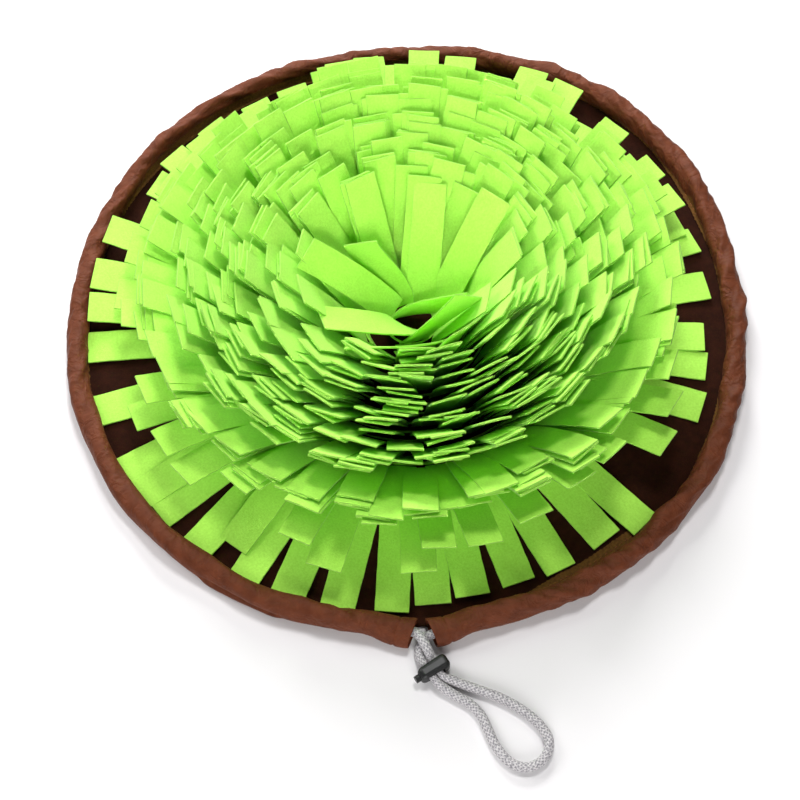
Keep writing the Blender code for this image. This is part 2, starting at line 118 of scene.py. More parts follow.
def gridFaces(rows, columns, roundRows=False, roundColumns=False):
    # the corner numbers of each cell of a grid, wrapped round where an edge meets its start
    i = np.arange(rows if roundRows else rows - 1)[:, None]
    j = np.arange(columns if roundColumns else columns - 1)[None, :]
    nextRow, nextColumn = (i + 1) % rows, (j + 1) % columns
    corners = np.broadcast_arrays(i * columns + j, nextRow * columns + j,
                                  nextRow * columns + nextColumn, i * columns + nextColumn)
    return np.stack(corners, axis=-1).reshape(-1, 4)


def tubeFaces(rows, count):
    # a tube of rows of count points, each end closed by quads from one side to the other
    half = np.arange(count // 2 - 1)
    cap = np.stack((half, half + 1, count - 2 - half, count - 1 - half), axis=-1)
    return np.vstack((gridFaces(rows, count, roundColumns=True), cap, cap[:, ::-1] + (rows - 1) * count))


def gridUv(u, v):
    # each cell's four corners on a sheet whose rows are u and whose columns are v, in metres
    u, v = np.broadcast_arrays(u, v)
    corners = [(u[:-1, :-1], v[:-1, :-1]), (u[1:, :-1], v[1:, :-1]),
               (u[1:, 1:], v[1:, 1:]), (u[:-1, 1:], v[:-1, 1:])]
    return np.stack([np.stack(pair, axis=-1) for pair in corners], axis=2).reshape(-1, 2)


def turnFaces(faces, uv):
    # the same four-cornered faces the other way round, with each corner's place in the pattern
    return faces[:, ::-1], uv.reshape(-1, 4, 2)[:, ::-1].reshape(-1, 2)


def newPiece(name, points, faces, finish, uv=None, sharp=None, **perPoint):
    # a mesh object at the origin from whole arrays of points and four-cornered faces
    mesh = bpy.data.meshes.new(name)
    mesh.vertices.add(len(points))
    mesh.vertices.foreach_set("co", np.asarray(points, np.float32).ravel())
    mesh.loops.add(faces.size)
    mesh.loops.foreach_set("vertex_index", faces.astype(np.int32).ravel())
    mesh.polygons.add(len(faces))
    mesh.polygons.foreach_set("loop_start", np.arange(0, faces.size, 4, dtype=np.int32))
    if uv is not None:
        mesh.uv_layers.new(name="clothUv").uv.foreach_set("vector", uv.astype(np.float32).ravel())
    for label, values in perPoint.items():
        layer = mesh.attributes.new(label, 'FLOAT', 'POINT')
        layer.data.foreach_set("value", np.asarray(values, np.float32).ravel())
    mesh.update(calc_edges=True)
    mesh.validate()
    mesh.shade_smooth()
    if sharp is not None:
        mesh.set_sharp_from_angle(angle=math.radians(sharp))
    mesh.materials.append(finish)
    piece = bpy.data.objects.new(name, mesh)
    scene.collection.objects.link(piece)
    return piece


def fitPiece(piece, slot, *nodes):
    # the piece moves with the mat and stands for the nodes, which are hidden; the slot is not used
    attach(piece, "mat")
    if nodes:
        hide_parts(*nodes)


# camera

view = {"azimuth": 0.0, "elevation": 61.57, "distance": 1.2, "lens": 83.2, "sensor": 36.0,
        "target": (-4.93 * mm, -55.1 * mm, 0.0)}


def makeCamera(view):
    # on a sphere round the target, at an azimuth and an elevation, looking at its middle
    turn, rise = math.radians(view["azimuth"]), math.radians(view["elevation"])
    back = np.array((math.sin(turn) * math.cos(rise), -math.cos(turn) * math.cos(rise),
                     math.sin(rise)))
    data = bpy.data.cameras.new("camera")
    data.lens = view["lens"]
    data.sensor_width = view["sensor"]
    camera = bpy.data.objects.new("camera", data)
    camera.location = np.array(view["target"]) + back * view["distance"]
    camera.rotation_euler = (math.radians(90.0) - rise, 0.0, turn)
    scene.collection.objects.link(camera)
    scene.camera = camera


makeCamera(view)
print("camera ready")


# rim and casing sizes, shared by the casing, the base cloth and the drawstring

casing = {
    "rimRadius": 224.9 * mm,
    # the rim's slow waves: order, cosine and sine part in mm
    "rimWaves": ((2, 0.0, 2.2), (3, -1.5, 0.7), (4, -2.0, -0.3), (5, -0.3, -0.7)),
    "width": 12.4 * mm, "height": 14.4 * mm, "squareness": 2.5, "wall": 0.7 * mm,
    "mouthWidth": 17.0 * mm, "mouthHeight": 11.6 * mm, "mouthFlare": 5.0 * mm,
    "mouthBlend": 32.0 * mm, "mouthSlant": 0.37,
    "rightMouth": math.radians(273.2), "leftMouth": math.radians(630.4),
    "gathers": ((22, 2, 0.9, 0.4), (13, -1, 0.6, 1.9)),       # waves, turns, depth in mm, phase
    "folds": ((46, 3, 2.3, 0.3, 2.4), (67, 4, 1.2, 2.1, 3.1), (31, -2, 1.1, 4.0, 2.2),
              (128, 5, 0.5, 1.2, 4.3)),                       # creases, turns, depth in mm, phase, warp
    "pinches": 21, "pinchDepth": 0.13, "pinchWidth": 3.6 * mm,
    "hem": 9.8 * mm, "hemGroove": 0.6 * mm, "hemGrooveWidth": 0.9 * mm,
    "slack": ((600.0, 20.0, 1.0), (568.0, 16.0, 0.8)),        # azimuth and reach in degrees, how slack
    "backTuck": 0.5, "backMiddle": 480.0, "backReach": 52.0,  # share drawn in, and where, in degrees
    "lip": 1.7 * mm, "lipFrom": math.radians(594.0), "lipTo": math.radians(611.0),
    "lipTurn": 5.65, "lipDip": 6.18,                          # round the sleeve, in radians
    "stations": 1150, "sides": 36, "girth": 44.0 * mm,
}


def rimRadius(azimuth):
    # the mean radius and a few slow cosine and sine waves
    waves = [c * mm * np.cos(order * azimuth) + s * mm * np.sin(order * azimuth)
             for order, c, s in casing["rimWaves"]]
    return casing["rimRadius"] + sum(waves)


def mouthShare(azimuth):
    # 0 along the rim, rising smoothly to 1 at the nearer open end
    nearest = np.minimum(azimuth - casing["rightMouth"], casing["leftMouth"] - azimuth)
    return 1.0 - smoothStep(nearest * casing["rimRadius"] / casing["mouthBlend"])


def sleeveSize(azimuth):
    # width and height go from the rim's to the mouth's
    share = mouthShare(azimuth)
    return (casing["width"] + (casing["mouthWidth"] - casing["width"]) * share,
            casing["height"] + (casing["mouthHeight"] - casing["height"]) * share)


def sleeveMiddle(azimuth):
    # half a width inside the rim's outline, and further out at the mouths
    return rimRadius(azimuth) - 0.5 * casing["width"] + casing["mouthFlare"] * mouthShare(azimuth)


# drawstring

cord = {
    "diameter": 6.0 * mm, "height": 5.3 * mm, "inset": 9.0 * mm, "pinch": 0.8, "spacing": 5.2 * mm,
    "length": 267.0 * mm, "step": 0.36 * mm, "sides": 64,
    "strands": 8, "braidLength": 5.6 * mm, "relief": 0.22 * mm,
    "outOfCasing": ((0.8, -222.2, 6.6), (4.8, -225.4, 8.7), (7.9, -230.2, 9.7), (10.2, -235.0, 8.8)),
    "firstPass": ((-6.5, 0.6), (0.0, 0.0), (6.5, -0.2)),      # across the lock, up, in mm
    "loop": ((25.0, -252.4, 3.9), (32.5, -255.2, 3.2), (41.5, -258.4, 3.1), (53.0, -262.9, 3.1),
             (64.8, -269.7, 3.1), (74.6, -278.0, 3.1), (80.4, -286.4, 3.1), (81.0, -294.0, 3.1),
             (77.4, -300.8, 3.1), (70.3, -305.0, 3.1), (62.2, -304.6, 3.1), (55.0, -299.6, 3.1),
             (49.6, -292.0, 3.1), (45.7, -283.0, 3.1), (41.6, -274.0, 3.1), (35.4, -267.0, 3.1),
             (27.0, -261.9, 3.2), (19.6, -257.2, 3.9)),       # mm from the middle of the rim
    "secondPass": ((6.5, 0.0), (0.0, 0.0), (-6.5, 0.0)),
    "intoCasing": ((5.4, -236.4, 3.6), (5.5, -231.2, 3.2), (8.2, -226.6, 3.4), (12.8, -223.4, 4.6)),
}
lock = {"centre": np.array((13.3, -246.0, 5.4)) * mm, "turn": math.radians(33.0)}


def casingPoint(azimuth):
    # where the drawstring runs inside the casing
    return rimCentre + radial(azimuth) * sleeveMiddle(azimuth) + np.array((0.0, 0.0, cord["height"]))


def lockPoint(along, across, up):
    # a place along the lock, across it and up from its middle, turned with the lock
    c, s = math.cos(lock["turn"]), math.sin(lock["turn"])
    return rimCentre + lock["centre"] + np.array((c * along + s * across, s * along - c * across, up))


def drawstringRoute():
    # out of the left mouth, through the lock, round the loop, back through it, into the right mouth
    left, right, inset = casing["leftMouth"], casing["rightMouth"], cord["inset"] / casing["rimRadius"]
    side = 0.5 * cord["spacing"]

    def onFloor(table):
        return [rimCentre + np.array(place) * mm for place in table]

    def inLock(table, along):
        return [lockPoint(along, across * mm, up * mm) for across, up in table]

    places = [casingPoint(left - inset), casingPoint(left - 0.5 * inset), *onFloor(cord["outOfCasing"]),
              *inLock(cord["firstPass"], side), *onFloor(cord["loop"]),
              *inLock(cord["secondPass"], -side), *onFloor(cord["intoCasing"]),
              casingPoint(right + 0.7 * inset), casingPoint(right + 1.2 * inset)]
    # the cord's thickness at each place, as a share: the lock pinches it
    shares = ([1.0] * 5 + [0.95] + [cord["pinch"]] * 3 + [1.0] * len(cord["loop"])
              + [cord["pinch"]] * 3 + [0.97] + [1.0] * 5)
    return np.array(places), np.array(shares)


def evenPath(places, shares, step):
    # the Catmull-Rom curve through the places, read at even steps along its own length
    cuts = 60
    before = np.vstack((2.0 * places[0] - places[1], places, 2.0 * places[-1] - places[-2]))
    t = np.linspace(0.0, 1.0, cuts, endpoint=False)[None, :, None]
    p0, p1, p2, p3 = (before[k:len(before) - 3 + k, None, :] for k in range(4))
    fine = 0.5 * (2.0 * p1 + (p2 - p0) * t + (2.0 * p0 - 5.0 * p1 + 4.0 * p2 - p3) * t ** 2
                  + (3.0 * p1 - p0 - 3.0 * p2 + p3) * t ** 3)
    fine = np.vstack((fine.reshape(-1, 3), places[-1:]))
    fineShares = np.interp(np.arange(len(fine)) / cuts, np.arange(len(shares)), shares)
    run = np.concatenate(([0.0], np.cumsum(np.linalg.norm(np.diff(fine, axis=0), axis=1))))
    even = np.linspace(0.0, run[-1], int(round(run[-1] / step)) + 1)
    points = np.stack([np.interp(even, run, fine[:, axis]) for axis in range(3)], axis=-1)
    return points, np.interp(even, run, fineShares), even


def braidedTube(path, shares, run):
    # a tube whose radius rises where one of two crossing helices of strands lies on top: the higher
    # of |cos| of each helix's phase, each weighted by which of them is over at that crossing
    turn = 2.0 * np.pi * np.arange(cord["sides"])[None, :] / cord["sides"]
    along = run[:, None] * 2.0 * np.pi / cord["braidLength"]
    first = cord["strands"] * 0.5 * turn + along
    second = cord["strands"] * 0.5 * turn - along
    crossing = np.sin(first + 0.7) * np.sin(second + 0.7)
    over = 0.5 + 0.5 * crossing / (0.25 + np.abs(crossing))
    height = np.maximum(np.abs(np.cos(first)) * (0.55 + 0.45 * over),
                        np.abs(np.cos(second)) * (1.0 - 0.45 * over))
    radius = 0.5 * cord["diameter"] * shares[:, None] + cord["relief"] * (height - 0.75)
    tangent = np.gradient(path, axis=0)
    tangent /= np.linalg.norm(tangent, axis=1, keepdims=True)
    across = np.cross(tangent, (0.0, 0.0, 1.0))
    across /= np.linalg.norm(across, axis=1, keepdims=True)
    up = np.cross(across, tangent)
    offset = np.cos(turn)[..., None] * across[:, None, :] + np.sin(turn)[..., None] * up[:, None, :]
    points = path[:, None, :] + offset * radius[..., None]
    points[..., 2] = np.maximum(points[..., 2], 0.1 * mm)
    return points, height


def closedTube(points, capInset):
    # a grid of rings round a path, with both ends drawn in to a small ring and closed
    middles = points.mean(axis=1, keepdims=True)
    first = middles[:1] + (points[:1] - middles[:1]) * capInset
    last = middles[-1:] + (points[-1:] - middles[-1:]) * capInset
    rings = np.concatenate((first, points, last), axis=0)
    return rings.reshape(-1, 3), tubeFaces(len(rings), points.shape[1])


# materials

def makeFeltMaterial():
    # needled polyester felt: matte, with a fine grain where the fibres bunch, and a pale surface
    # shine on each fibre, so that lit faces are a little paler than the shade between strips
    made, tree, shader = newMaterial("needled polyester felt")
    uv = addNode(tree, 'ShaderNodeUVMap', uv_map="clothUv")
    tone, edge = [addNode(tree, 'ShaderNodeAttribute', attribute_name=name)
                  for name in ("tone", "cutEdge")]
    clouds, grain, fibres = [
        addNode(tree, 'ShaderNodeTexNoise', {"Vector": (uv, "UV"), "Scale": 1.0 / (size * mm),
                                             "Detail": detail, "Roughness": roughness})
        for size, detail, roughness in ((6.0, 3.0, 0.55), (1.5, 3.0, 0.6), (0.6, 2.0, 0.7))]
    blend = addNode(tree, 'ShaderNodeMath', {0: (clouds, "Fac"), 1: 0.45, 2: (grain, "Fac")},
                    operation='MULTIPLY_ADD')
    blend = addNode(tree, 'ShaderNodeMath', {0: (blend, 0), 1: (tone, "Fac")}, operation='ADD')
    ramp = addNode(tree, 'ShaderNodeValToRGB', {"Fac": (blend, 0)})
    setStops(ramp, (0.5, "#A6E840"), (0.95, "#B9F752"))
    # painted shade: the cut edges and the cut tips are mixed to a darker green, #8CCB34, so that they look
    # less bright where they face the lamps
    cut = addNode(tree, 'ShaderNodeMix', {"Factor": (edge, "Fac"), 6: (ramp, "Color"), 7: "#8CCB34"},
                  data_type='RGBA')
    relief = addNode(tree, 'ShaderNodeMath', {0: (grain, "Fac"), 1: (fibres, "Fac")}, operation='ADD')
    bump = addNode(tree, 'ShaderNodeBump', {"Height": (relief, 0), "Strength": 0.55, "Distance": 0.45 * mm})
    setSockets(tree, shader, {
        "Base Color": (cut, 2), "Normal": (bump, "Normal"), "Roughness": 0.85,
        "Specular IOR Level": 1.0, "Sheen Weight": 0.15, "Sheen Roughness": 0.6, "Sheen Tint": "#F2FFD8"})
    return made


def makeTaffetaMaterial():
    # woven polyester taffeta, calendered: a fine plain weave with a soft gloss along its creases
    made, tree, shader = newMaterial("calendered polyester taffeta")
    uv = addNode(tree, 'ShaderNodeUVMap', uv_map="clothUv")
    dust = addNode(tree, 'ShaderNodeTexNoise', {
        "Vector": (uv, "UV"), "Scale": 1.0 / (9.0 * mm), "Detail": 5.0, "Roughness": 0.6})
    ramp = addNode(tree, 'ShaderNodeValToRGB', {"Fac": (dust, "Fac")})
    setStops(ramp, (0.3, "#572A15"), (0.7, "#703A22"))
    # the threads lie 0.8 mm apart here, coarser than real ones, so that they show
    scaled = addNode(tree, 'ShaderNodeVectorMath', {0: (uv, "UV"), 3: 1.0 / (0.8 * mm)}, operation='SCALE')
    warp, weft = [addNode(tree, 'ShaderNodeTexWave', {"Vector": (scaled, 0), "Scale": 0.31},
                          wave_type='BANDS', bands_direction=axis) for axis in "XY"]
    weave = addNode(tree, 'ShaderNodeMath', {0: (warp, "Fac"), 1: (weft, "Fac")}, operation='MULTIPLY')
    crinkle = addNode(tree, 'ShaderNodeTexNoise', {
        "Vector": (uv, "UV"), "Scale": 1.0 / (9.0 * mm), "Detail": 2.5, "Roughness": 0.55,
        "Distortion": 1.6})
    creases = addNode(tree, 'ShaderNodeBump', {
        "Height": (crinkle, "Fac"), "Strength": 0.85, "Distance": 2.2 * mm})
    bump = addNode(tree, 'ShaderNodeBump', {
        "Height": (weave, 0), "Strength": 0.3, "Distance": 0.12 * mm, "Normal": (creases, "Normal")})
    setSockets(tree, shader, {
        "Base Color": (ramp, "Color"), "Normal": (bump, "Normal"), "Roughness": 0.6,
        "Specular IOR Level": 0.16, "Sheen Weight": 0.04, "Sheen Roughness": 0.35,
        "Sheen Tint": "#E8A080"})
    return made


def makeBaseMaterial():
    # brushed polyester base cloth: a short dark nap that swallows light
    made, tree, shader = newMaterial("brushed polyester cloth")
    place = addNode(tree, 'ShaderNodeTexCoord')
    clumps, nap = [
        addNode(tree, 'ShaderNodeTexNoise', {"Vector": (place, "Object"), "Scale": 1.0 / (size * mm),
                                             "Detail": detail, "Roughness": roughness})
        for size, detail, roughness in ((6.0, 6.0, 0.65), (0.9, 2.0, 0.5))]
    ramp = addNode(tree, 'ShaderNodeValToRGB', {"Fac": (clumps, "Fac")})
    setStops(ramp, (0.3, "#210B04"), (0.75, "#331509"))
    relief = addNode(tree, 'ShaderNodeMath', {0: (clumps, "Fac"), 1: (nap, "Fac")}, operation='ADD')
    bump = addNode(tree, 'ShaderNodeBump', {"Height": (relief, 0), "Strength": 0.5, "Distance": 0.5 * mm})
    setSockets(tree, shader, {
        "Base Color": (ramp, "Color"), "Normal": (bump, "Normal"), "Roughness": 1.0,
        "Specular IOR Level": 0.15, "Sheen Weight": 0.12, "Sheen Tint": "#7A4020"})
    return made


def makeCordMaterial():
    # braided polyester cord, undyed: bright strands, with grey painted shade in the dips between them and
    # grey flecks of painted shadow over them
    made, tree, shader = newMaterial("braided polyester cord")
    # painted shade: the lower a strand lies, the greyer it is painted
    high = addNode(tree, 'ShaderNodeAttribute', attribute_name="strandHeight")
    place = addNode(tree, 'ShaderNodeTexCoord')
    flecks = addNode(tree, 'ShaderNodeTexNoise', {
        "Vector": (place, "Object"), "Scale": 1.0 / (0.9 * mm), "Detail": 2.0})
    # painted shadow: grey flecks where the noise runs high
    speckleShadow = addNode(tree, 'ShaderNodeMapRange', {
        "Value": (flecks, "Fac"), "From Min": 0.5, "From Max": 0.66, "To Min": 0.0, "To Max": -0.5})
    tone = addNode(tree, 'ShaderNodeMath', {0: (high, "Fac"), 1: (speckleShadow, 0)}, operation='ADD')
    ramp = addNode(tree, 'ShaderNodeValToRGB', {"Fac": (tone, 0)})
    setStops(ramp, (0.3, "#88858A"), (0.85, "#DCD8D9"))
    setSockets(tree, shader, {"Base Color": (ramp, "Color"), "Roughness": 0.7, "Sheen Weight": 0.2})
    return made


def makeLockMaterial():
    # injection-moulded black acetal: a fine sparked grain and a dull gloss
    made, tree, shader = newMaterial("moulded black acetal")
    place = addNode(tree, 'ShaderNodeTexCoord')
    grain = addNode(tree, 'ShaderNodeTexNoise', {
        "Vector": (place, "Object"), "Scale": 1.0 / (0.4 * mm), "Detail": 2.0})
    bump = addNode(tree, 'ShaderNodeBump', {
        "Height": (grain, "Fac"), "Strength": 0.2, "Distance": 0.05 * mm})
    setSockets(tree, shader, {"Base Color": "#161716", "Normal": (bump, "Normal"), "Roughness": 0.42})
    return made


def makeThreadMaterial(name, hexText, roughness):
    # spun polyester sewing thread, also where it covers the overlocked edge: dull, faintly uneven
    made, tree, shader = newMaterial(name)
    place = addNode(tree, 'ShaderNodeTexCoord')
    uneven = addNode(tree, 'ShaderNodeTexNoise', {
        "Vector": (place, "Object"), "Scale": 1.0 / (1.6 * mm), "Detail": 3.0})
    value = addNode(tree, 'ShaderNodeMapRange', {
        "Value": (uneven, "Fac"), "From Min": 0.3, "From Max": 0.7, "To Min": 0.65, "To Max": 1.3})
    tint = addNode(tree, 'ShaderNodeHueSaturation', {"Color": hexText, "Value": (value, 0)})
    bump = addNode(tree, 'ShaderNodeBump', {
        "Height": (uneven, "Fac"), "Strength": 0.5, "Distance": 0.3 * mm})
    setSockets(tree, shader, {
        "Base Color": (tint, "Color"), "Normal": (bump, "Normal"), "Roughness": roughness,
        "Specular IOR Level": 0.2})
    return made


felt = makeFeltMaterial()
taffeta = makeTaffetaMaterial()
overlock = makeThreadMaterial("overlocked taffeta edge", "#67441C", 0.9)
thread = makeThreadMaterial("spun polyester thread", "#8A5230", 0.7)
brushed = makeBaseMaterial()
cordFinish = makeCordMaterial()
acetal = makeLockMaterial()
print("materials ready")


# drawstring and lock

def makeDrawstring():
    places, shares = drawstringRoute()
    path, pathShares, run = evenPath(places, shares, cord["step"])
    rings, height = braidedTube(path, pathShares, run)
    points, faces = closedTube(rings, 0.3)
    strandHeight = np.concatenate((height[:1], height, height[-1:])).ravel()
    piece = newPiece("drawstringBraid", points, faces, cordFinish, strandHeight=strandHeight)
    fitPiece(piece, "cord", "drawstring_loop")
    print("drawstring", round(float(run[-1]), 4), "m")


makeDrawstring()
for node, finish in (("drawstring_in_casing", cordFinish), ("cord_lock_body", acetal),
                     ("cord_lock_button", acetal)):
    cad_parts[node].data.materials.clear()
    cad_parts[node].data.materials.append(finish)
print("drawstring and lock ready")


# casing

def foldHeight(azimuth, turn):
    # folds that wind round the sleeve: each rises to a sharp ridge, 1 − |sin| to the power 0.8, along
    # a warped phase, and patches of them fade out
    total = 0.0
    for creases, turns, depth, phase, warp in casing["folds"]:
        slow = warp * (np.sin(7.0 * azimuth + phase)
                       + 0.7 * np.sin(16.0 * azimuth + 2.3 * phase + turn))
        part = 0.5 * (creases * azimuth + turns * turn + slow)
        patch = 0.25 + 0.75 * smoothStep(0.5 + 0.9 * np.sin(5.0 * azimuth + 3.1 * phase)
                                         * np.sin(11.0 * azimuth + phase))
        total = total + depth * mm * patch * (0.65 - np.abs(np.sin(part)) ** 0.8)
    return total


def gatherShare(azimuth):
    # how tightly the casing is gathered: slack at the front left, tight elsewhere
    slack = sum(much * np.exp(-((np.degrees(azimuth) - middle) / reach) ** 2)
                for middle, reach, much in casing["slack"])
    return 1.0 - 0.85 * np.clip(slack, 0.0, 1.0)


def backShare(azimuth):
    # 1 round the back left, where the sleeve is drawn tight against the base, and 0 elsewhere
    apart = (np.degrees(azimuth) - casing["backMiddle"]) / casing["backReach"]
    return smoothStep(1.5 * (1.0 - np.abs(apart)))


def lipHeight(azimuth, turn):
    # the casing's slack lower edge, which sags out below the rest along part of the front left
    share = (smoothStep((azimuth - casing["lipFrom"]) / 0.05)
             * smoothStep((casing["lipTo"] - azimuth) / 0.05))
    low = (np.exp(-((turn - casing["lipTurn"]) / 0.26) ** 2)
           - 0.9 * np.exp(-((turn - casing["lipDip"]) / 0.16) ** 2))
    return casing["lip"] * share * low


def casingAzimuths():
    # stations from mouth to mouth, closer together at the mouths than halfway
    even = np.linspace(0.0, 1.0, casing["stations"])
    share = even - 0.45 * np.sin(2.0 * np.pi * even) / (2.0 * np.pi)
    return casing["rightMouth"] + (casing["leftMouth"] - casing["rightMouth"]) * share


def pinchShare(azimuth, turn):
    # short tucks where the sleeve is drawn in: a leaning bell for each, 1 at its middle
    pinch = 0.0
    for number in range(casing["pinches"]):
        step = 2.0 * np.pi * (number + 0.7 + 0.4 * scatter(40, number, 1)) / casing["pinches"]
        size = casing["pinchWidth"] * (1.0 + 0.4 * scatter(40, number, 2)) / casing["rimRadius"]
        lean = 0.9 * scatter(40, number, 3) * size
        pinch = pinch + (0.6 + 0.4 * scatter(40, number, 4)) * np.exp(
            -((azimuth - casing["rightMouth"] - step - lean * np.sin(turn)) / size) ** 2)
    return np.clip(pinch, 0.0, 1.0)


def makeCasing():
    # a squared oval section, with gathers, folds and pinches, carried from mouth to mouth
    azimuth = casingAzimuths()[:, None]
    turn = 2.0 * np.pi * (np.arange(casing["sides"])[None, :] + 0.5) / casing["sides"]
    share = mouthShare(azimuth)
    width, height = sleeveSize(azimuth)
    gather = sum(depth * mm * np.sin(waves * azimuth + turns * turn + phase)
                 for waves, turns, depth, phase in casing["gathers"])
    gather = gather * (1.0 - 0.8 * share)
    gather = gather + foldHeight(azimuth, turn) * gatherShare(azimuth) * (1.0 - 0.85 * share)
    squeeze = 1.0 - (casing["pinchDepth"] * pinchShare(azimuth, turn) * (1.0 - share)
                     * gatherShare(azimuth))
    fromRight, fromLeft = azimuth - casing["rightMouth"], casing["leftMouth"] - azimuth
    nearest = np.minimum(fromRight, fromLeft) * casing["rimRadius"]
    groove = casing["hemGroove"] * np.exp(-((nearest - casing["hem"]) / casing["hemGrooveWidth"]) ** 2)
    gather = gather * (0.6 + 0.4 * np.sin(turn)) - groove
    power = 2.0 / casing["squareness"]
    across, up = np.cos(turn), np.sin(turn)
    tuck = casing["backTuck"] * backShare(azimuth)
    out = np.sign(across) * np.abs(across) ** power * (0.5 * width + gather) * squeeze
    out = out * np.where(across < 0.0, 1.0 - tuck, 1.0) + lipHeight(azimuth, turn)
    rise = np.sign(up) * np.abs(up) ** power * (0.5 * height + gather * 0.9)
    rise = rise * np.where((across < 0.0) & (up > 0.0), 1.0 + 0.5 * tuck * across, 1.0)
    level = np.where(rise > 0.0, 0.5 * height + rise * squeeze, 0.5 * height + rise)
    level = np.maximum(level, casing["wall"])
    middle = sleeveMiddle(azimuth)
    cutBack = np.where(fromLeft < fromRight, 1.0, -1.0) * share * casing["mouthSlant"] * out / middle
    points = rimCentre + radial(azimuth - cutBack) * (middle + out)[..., None] + upright(level)
    uv = gridUv(azimuth * casing["rimRadius"],
                np.linspace(0.0, casing["girth"], casing["sides"] + 1)[None, :])
    faces, uv = turnFaces(gridFaces(casing["stations"], casing["sides"], roundColumns=True), uv)
    piece = newPiece("gatheredCasing", points.reshape(-1, 3), faces, taffeta, uv=uv)
    wall = piece.modifiers.new("cloth wall", 'SOLIDIFY')
    wall.thickness = casing["wall"]
    wall.offset = -1.0
    fitPiece(piece, "casing_taffeta", "rim_casing")


makeCasing()
print("casing ready")


# seam allowance: the overlocked edge that shows inside the casing, with its stitches

seam = {
    "width": 1.6 * mm, "fray": 0.35 * mm, "thickness": 0.5 * mm, "height": 8.6 * mm,
    # middle and half length of each wide run in degrees, extra width in mm
    "wide": ((303.0, 19.0, 8.0), (27.0, 17.0, 2.6), (338.0, 14.0, 2.0), (120.0, 30.0, 1.2)),
    "stations": 1400, "columns": 7, "margin": 0.025,
    "stitchLength": 3.0 * mm, "stitchPitch": 4.4 * mm, "stitchRadius": 0.28 * mm,
    # first and last azimuth in degrees, share of the width from the casing, lead in mm
    "stitchRows": ((286.0, 321.0, 0.55, 0.0), (290.0, 318.0, 0.3, 0.9), (8.0, 47.0, 0.5, 0.0)),
}


def seamWidth(azimuth):
    # how far the edge lies out on the base cloth, from the casing's inner side
    degrees = np.degrees(azimuth) % 360.0
    width = seam["width"] * (1.0 + 0.4 * np.sin(13.0 * azimuth) * np.sin(5.0 * azimuth + 1.0))
    for middle, half, extra in seam["wide"]:
        apart = np.abs((degrees - middle + 180.0) % 360.0 - 180.0)
        width = width + extra * mm * smoothStep(1.4 * (1.0 - apart / half))
    return width


def seamPlace(azimuth, across, over):
    # a point on the seam allowance: across runs from 0 at the casing's side to 1 at the cut edge,
    # and over is its height above the cloth's own surface
    width = seamWidth(azimuth)
    radius = baseRadius(azimuth) + base["inset"] + 0.9 * mm - across * width
    fall = np.clip(1.0 - across * (0.7 + width / (4.0 * mm)), 0.0, 1.0) ** 1.6
    level = baseTop + 0.25 * mm + (seam["height"] - baseTop) * fall
    return rimCentre + radial(azimuth) * radius[..., None] + upright(level + over + 0.0 * radius)


def makeSeamAllowance():
    # a ribbon from the casing's inner side down on to the base cloth, frayed along its cut edge
    stations, columns = seam["stations"], seam["columns"]
    azimuth = np.linspace(casing["rightMouth"] + seam["margin"], casing["leftMouth"] - seam["margin"],
                          stations)[:, None]
    across = np.linspace(0.0, 1.0, columns)[None, :]
    fray = seam["fray"] * scatter(50, np.arange(stations), 1)[:, None] / seamWidth(azimuth)
    spread = across * (1.0 + fray * across ** 3)
    upper = seamPlace(azimuth, spread, seam["thickness"])
    lower = seamPlace(azimuth, spread, 0.0)
    points = np.concatenate((upper, lower[:, ::-1]), axis=1)
    piece = newPiece("seamAllowance", points.reshape(-1, 3), tubeFaces(stations, 2 * columns), overlock,
                     sharp=40.0)
    fitPiece(piece, "casing_taffeta")


def makeStitches():
    # short rounded threads, end to end along the seam allowance, each a six-sided tube that bows up
    starts, shares = [], []
    for first, last, share, lead in seam["stitchRows"]:
        row = np.arange(math.radians(first), math.radians(last), seam["stitchPitch"] / casing["rimRadius"])
        starts.append(row + lead * mm / casing["rimRadius"])
        shares.append(np.full(len(row), share))
    start, share = np.concatenate(starts)[:, None], np.concatenate(shares)[:, None]
    number = np.arange(len(start))[:, None]
    along = np.linspace(0.0, 1.0, 6)[None, :]
    azimuth = start + along * seam["stitchLength"] / casing["rimRadius"]
    bow = np.sin(np.pi * along)
    middle = seamPlace(azimuth, share + 0.05 * scatter(51, number, 2) * (2.0 * along - 1.0),
                       seam["thickness"] + seam["stitchRadius"] * (1.4 * bow - 0.6))
    turn = 2.0 * np.pi * np.arange(6) / 6
    radius = seam["stitchRadius"] * (0.35 + 0.65 * bow)
    offset = (radial(azimuth)[:, :, None, :] * np.cos(turn)[:, None]
              + np.array((0.0, 0.0, 1.0)) * np.sin(turn)[:, None])
    points = middle[:, :, None, :] + offset * radius[..., None, None]
    faces = (tubeFaces(6, 6) + 36 * np.arange(len(start))[:, None, None]).reshape(-1, 4)
    fitPiece(newPiece("casingStitches", points.reshape(-1, 3), faces, thread), "casing_taffeta")


# base cloth

base = {"rings": 56, "stations": 260, "pucker": 0.5 * mm, "inset": -1.8 * mm}


def baseRadius(azimuth):
    # into the casing's foot, which is a superellipse at the cloth's own height
    azimuth = casing["rightMouth"] + (azimuth - casing["rightMouth"]) % (2.0 * np.pi)
    width, height = sleeveSize(azimuth)
    rise = np.clip(1.0 - (baseTop + 0.6 * mm) / (0.5 * height), 0.0, 1.0)
    power = casing["squareness"]
    out = 0.5 * width * (1.0 - rise ** power) ** (1.0 / power)
    return sleeveMiddle(azimuth) - out - base["inset"]


